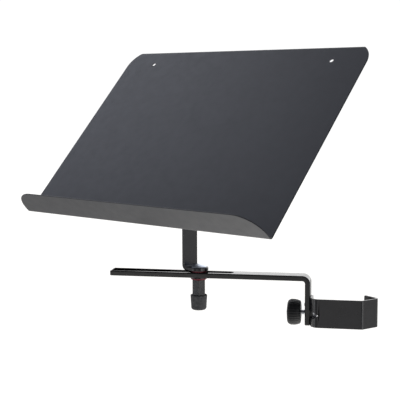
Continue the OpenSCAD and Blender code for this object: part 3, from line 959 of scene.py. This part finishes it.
def make_knob():
    """A barrel-shaped knob with a domed end and grooves all round for the fingers."""
    low, high = extent("clamp_knob", screw_place)
    radius, length = high.y, high.z - low.z
    back, dome_h, dome_round = 1.8 * MM, 1.6 * MM, 3.6 * MM
    outline = filleted([(0, 0, 0), (radius - back, 0, back), (radius, length / 3, radius),
                        (radius, length * 2 / 3, 0), (radius - back, length - dome_h, dome_round),
                        (0, length, 0)], 8)
    piece = turned("knob_barrel", outline, KNOB_RIBS * RIB_STEPS)
    open_mesh(piece)
    for offset, scale in GROOVE_SCALES:
        pick(piece, "VERT", lambda v: in_groove(v.co, offset, radius, length))
        bpy.ops.transform.resize(value=(scale, scale, 1), center_override=(0, 0, 0))
    close_mesh()
    fit(piece, placed(Vector((high.z, 0, 0)), Z, Y, -X), "knob", "knob_plastic", knob_finish, "clamp_knob",
        shading=60)


def in_groove(spot, offset, radius, length):
    """True for the points of the knob's skin that lie in a groove, or on the column beside one."""
    if math.hypot(spot.x, spot.y) < radius * SKIN_FROM:
        return False
    column = math.atan2(spot.y, spot.x) / (2 * math.pi) * KNOB_RIBS * RIB_STEPS
    return round(column) % RIB_STEPS == offset


def make_pressure_pad():
    low, high = extent("pressure_pad", screw_place)
    radius, length = high.y, high.z - low.z
    face_t, bore_round, groove_round = 2.5 * MM, 0.3 * MM, 0.15 * MM
    bore_r, bore_l = SCREW_R + RUN_GAP, length - face_t
    groove_z, groove = length * 0.4, 0.5 * MM
    outline = filleted([(0, bore_l, 0), (bore_r, bore_l, 0), (bore_r, 0, bore_round), (radius, 0, PAD_RIM_R),
                        (radius, groove_z - groove, groove_round),
                        (radius - groove, groove_z, groove_round),
                        (radius, groove_z + groove, groove_round), (radius, length, PAD_RIM_R),
                        (0, length, 0)])
    piece = turned("pressure_pad_cup", outline, 72)
    fit(piece, screw_place @ at(0, 0, low.z), "pad", "pad_plastic", pad_finish, "pressure_pad")


make_clamp_screw()
make_knob()
make_pressure_pad()

# ---- Camera, light and floor ----

CAMERA_PLACE = (27.15 * MM, -1140.3 * MM, 252 * MM)
CAMERA_YAW = math.radians(10.6)
CAMERA_PITCH = math.radians(6.29)
CAMERA_ROLL = math.radians(-0.215)
CAMERA_LENS = 93.3
SENSOR_WIDTH = 36
# The floor lies this far below the object
FLOOR_DROP = 1.0
FLOOR_R = 14
FLOOR_TINT = (1, 0.985, 0.96, 1)
# Middle of the pool of painted glow in the floor's emission
FLOOR_GLOW = (0.5, 1.0, 0)
STRIP_TINT = (0.92, 0.95, 1)

# How bright the far floor's painted glow is towards each side, against degrees to the right of the front: painted
# dim bands where a dark flag would stand on either side of the camera, with brighter painted bands around them.
# STRIP_LIGHT is the brightest.
STRIP_LIGHT = 2.2
SIDES = [(-180, 1.0), (-130, 1.0), (-115, 2.2), (-86, 2.2), (-76, 0.8), (-50, 0.8),
         (-42, 0.25), (-28, 0.25), (-20, 1.7), (-13, 1.5), (-7, 1.0), (5, 1.0),
         (12, 0.25), (30, 0.25), (38, 2.2), (78, 2.2), (86, 0.95), (180, 1.0)]


def make_camera():
    lens = bpy.data.cameras.new("camera")
    lens.lens = CAMERA_LENS
    lens.sensor_width = SENSOR_WIDTH
    lens.clip_start = 0.05
    lens.clip_end = 60
    camera = bpy.data.objects.new("camera", lens)
    camera.location = CAMERA_PLACE
    aim = Matrix.Rotation(CAMERA_YAW, 3, "Z") @ Matrix.Rotation(QUARTER - CAMERA_PITCH, 3, "X")
    camera.rotation_euler = (aim @ Matrix.Rotation(CAMERA_ROLL, 3, "Z")).to_euler()
    bpy.context.scene.collection.objects.link(camera)
    bpy.context.scene.camera = camera


def ramp(tree, source, low, high, to_low, to_high):
    """Maps the range low to high of a value smoothly onto another range."""
    node = tree.nodes.new("ShaderNodeMapRange")
    node.interpolation_type = "SMOOTHSTEP"
    for socket, value in (("From Min", low), ("From Max", high), ("To Min", to_low), ("To Max", to_high)):
        node.inputs[socket].default_value = value
    tree.links.new(source, node.inputs["Value"])
    return node.outputs["Result"]


def calculated(tree, operation, first, second=0.0):
    node = tree.nodes.new("ShaderNodeMath")
    node.operation = operation
    for socket, value in zip(node.inputs, (first, second)):
        if isinstance(value, float):
            socket.default_value = value
        else:
            tree.links.new(value, socket)
    return node.outputs["Value"]


def seen_as(tree, light, plain):
    """A strength that lights the object, but is an even one where the camera looks straight at it."""
    strength = tree.nodes.new("ShaderNodeMix")
    strength.inputs["B"].default_value = plain
    tree.links.new(light, strength.inputs["A"])
    path = tree.nodes.new("ShaderNodeLightPath")
    tree.links.new(path.outputs["Is Camera Ray"], strength.inputs["Factor"])
    return strength.outputs["Result"]


def painted_side_glow(tree):
    """The painted glow of the far floor towards each side, as SIDES has it; 1 close to the object."""
    spot = tree.nodes.new("ShaderNodeTexCoord").outputs["Object"]
    split = tree.nodes.new("ShaderNodeSeparateXYZ")
    tree.links.new(spot, split.inputs[0])
    forward = calculated(tree, "MULTIPLY", split.outputs["Y"], -1.0)
    turn = calculated(tree, "ARCTAN2", split.outputs["X"], forward)
    share = calculated(tree, "DIVIDE", turn, 2 * math.pi)
    bands = tree.nodes.new("ShaderNodeValToRGB")
    tree.links.new(calculated(tree, "ADD", share, 0.5), bands.inputs[0])
    stops = bands.color_ramp.elements
    for _ in SIDES[2:]:
        stops.new(0.5)
    for stop, (degrees, light) in zip(stops, SIDES):
        stop.position = degrees / 360 + 0.5
        stop.color = (light / STRIP_LIGHT,) * 3 + (1,)
    length = tree.nodes.new("ShaderNodeVectorMath")
    length.operation = "LENGTH"
    tree.links.new(spot, length.inputs[0])
    side = tree.nodes.new("ShaderNodeMix")
    side.inputs["A"].default_value = 1.0
    tree.links.new(ramp(tree, length.outputs["Value"], 1.6, 2.6, 0.0, 1.0), side.inputs["Factor"])
    tree.links.new(calculated(tree, "MULTIPLY", bands.outputs["Color"], STRIP_LIGHT), side.inputs["B"])
    return side.outputs["Result"]


def make_floor():
    """White paper without a visible edge that glows: its emission paints a pool of light behind the object and the
    bands of SIDES.
    """
    bpy.ops.mesh.primitive_circle_add(vertices=96, radius=FLOOR_R, fill_type="NGON",
                                      location=(0, 0, cad_low.z - FLOOR_DROP))
    floor = bpy.context.object
    floor.name = "studio_floor"
    paper = bpy.data.materials.new("white_paper")
    paper.use_nodes = True
    tree = paper.node_tree
    shader = tree.nodes["Principled BSDF"]
    shader.inputs["Base Color"].default_value = (0.2, 0.2, 0.2, 1)
    shader.inputs["Roughness"].default_value = 0.9
    shader.inputs["Emission Color"].default_value = FLOOR_TINT
    away = tree.nodes.new("ShaderNodeVectorMath")
    away.operation = "DISTANCE"
    away.inputs[1].default_value = FLOOR_GLOW
    tree.links.new(tree.nodes.new("ShaderNodeTexCoord").outputs["Object"], away.inputs[0])
    # Painted light: the floor's emission is brightest in a pool around FLOOR_GLOW and banded towards the sides;
    # camera rays see it plain white.
    glow = ramp(tree, away.outputs["Value"], 0.95, 1.9, 2.0, 0.6)
    light = calculated(tree, "MULTIPLY", glow, painted_side_glow(tree))
    tree.links.new(seen_as(tree, light, 1.0), shader.inputs["Emission Strength"])
    floor.data.materials.append(paper)


def soft_box(name, place, target, size, power, tint):
    light = bpy.data.lights.new(name, "AREA")
    light.shape = "RECTANGLE"
    light.size, light.size_y = size
    light.energy = power
    light.color = tint
    lamp = bpy.data.objects.new(name, light)
    lamp.location = place
    lamp.rotation_euler = (Vector(target) - Vector(place)).to_track_quat("-Z", "Y").to_euler()
    bpy.context.scene.collection.objects.link(lamp)


def make_tent():
    """A white room: bright behind the object, dim and bluish elsewhere, and plain white to look at."""
    world = bpy.data.worlds.new("white_tent")
    bpy.context.scene.world = world
    world.use_nodes = True
    tree = world.node_tree
    background = tree.nodes["Background"]
    towards = tree.nodes.new("ShaderNodeSeparateXYZ")
    tree.links.new(tree.nodes.new("ShaderNodeTexCoord").outputs["Generated"], towards.inputs[0])
    depth = ramp(tree, towards.outputs["Y"], -0.1, 0.95, 0.1, 1.75)
    side = ramp(tree, towards.outputs["X"], 0.2, 0.95, 1.0, 0.5)
    light = calculated(tree, "MULTIPLY", depth, side)
    tree.links.new(seen_as(tree, light, 1.05), background.inputs["Strength"])
    tint = tree.nodes.new("ShaderNodeMix")
    tint.data_type = "RGBA"
    tint.inputs[6].default_value = (0.8, 0.84, 1, 1)
    tint.inputs[7].default_value = (1, 1, 1, 1)
    warmth = ramp(tree, towards.outputs["Y"], 0.3, 0.9, 0.0, 1.0)
    tree.links.new(seen_as(tree, warmth, 1.0), tint.inputs[0])
    tree.links.new(tint.outputs[2], background.inputs["Color"])


def make_lights():
    middle = (cad_low + cad_high) / 2
    soft_box("key_soft_box", (-1.25, 0.55, 1.25), middle, (0.9, 0.9), 2.2, (0.84, 0.88, 1))
    soft_box("back_soft_box", (-0.45, 0.92, 1.12), middle, (1.2, 0.4), 0.5, (1, 1, 1))
    soft_box("left_strip", (-1.7, -0.8, 0.15), middle, (0.3, 1.6), 3, STRIP_TINT)
    soft_box("right_strip", (1.25, -1.35, 0.15), middle, (0.3, 1.6), 3.5, STRIP_TINT)
    bpy.context.scene.view_settings.view_transform = "Standard"


make_camera()
make_floor()
make_tent()
make_lights()
